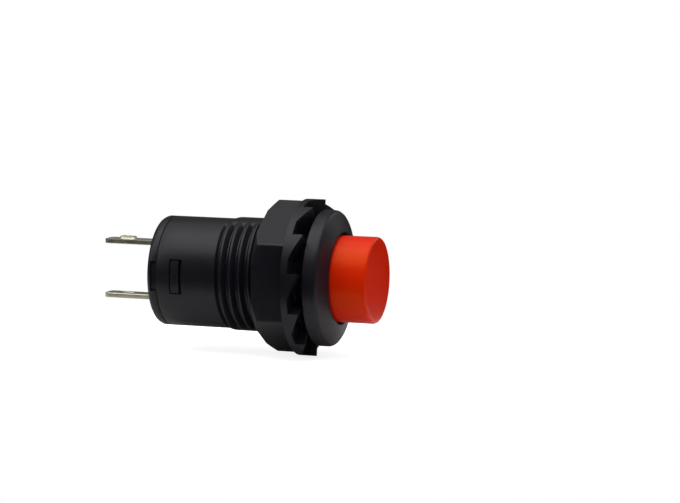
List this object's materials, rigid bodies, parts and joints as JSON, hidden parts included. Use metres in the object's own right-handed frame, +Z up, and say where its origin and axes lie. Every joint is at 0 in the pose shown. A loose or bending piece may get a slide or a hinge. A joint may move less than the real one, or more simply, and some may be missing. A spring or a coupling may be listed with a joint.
{
  "type": "latching push button switch",
  "caption": "Panel-mount latching push button switch: orange round button, black bezel, threaded barrel with toothed hex nut, and flat solder terminals at the rear.",
  "frame": {"origin": "on the barrel's axis, in the plane of the bezel's rear face, which seats on the panel", "axes": "+X along the barrel's axis out of the panel, towards the button; +Z up, towards the upper terminal"},
  "size_m": [0.0297, 0.016, 0.0162],
  "materials": {
    "black_nylon": "fine moulded texture, satin",
    "orange_abs": "moulded, glossy satin",
    "white_acetal": "moulded, natural",
    "spring_steel": "drawn wire",
    "copper_alloy": "stamped, bare",
    "silver": "turned contact silver",
    "tinned_brass": "bright tin plating"
  },
  "bodies": {
    "body": {"housing": "black_nylon", "base": "black_nylon", "terminal_upper": "tinned_brass", "terminal_lower": "tinned_brass", "fixed_contact_upper": "silver", "fixed_contact_lower": "silver", "return_spring": "spring_steel"},
    "button": {"button_cap": "orange_abs", "plunger": "white_acetal", "contact_spring": "spring_steel"},
    "bridge": {"contact_bridge": "copper_alloy", "moving_contact_upper": "silver", "moving_contact_lower": "silver"},
    "follower": {"latch_follower": "spring_steel"},
    "nut": {"mounting_nut": "black_nylon"}
  },
  "joints": [
    {"name": "button_travel", "type": "slide", "parent": "body", "child": "button", "axis": [-1, 0, 0], "range_m": [0, 0.0026], "stiffness_N_per_m": 400, "springref_m": -0.0025, "deforming": ["return_spring", "contact_spring"]},
    {"name": "bridge_travel", "type": "slide", "parent": "body", "child": "bridge", "axis": [-1, 0, 0], "range_m": [0, 0.0013]},
    {"name": "follower_swing", "type": "hinge", "parent": "body", "child": "follower", "pos_m": [-0.0136, 0.0038, 0], "axis": [0, -1, 0], "range_deg": [0, 12]},
    {"name": "nut_travel", "type": "slide", "parent": "body", "child": "nut", "axis": [-1, 0, 0], "range_m": [0, 0.0245]}
  ],
  "couplings": [
    {"joint": "bridge_travel", "follows": "button_travel", "ratio": 0.5},
    {"joint": "follower_swing", "follows": "button_travel", "rad_per_m": 79.9}
  ]
}
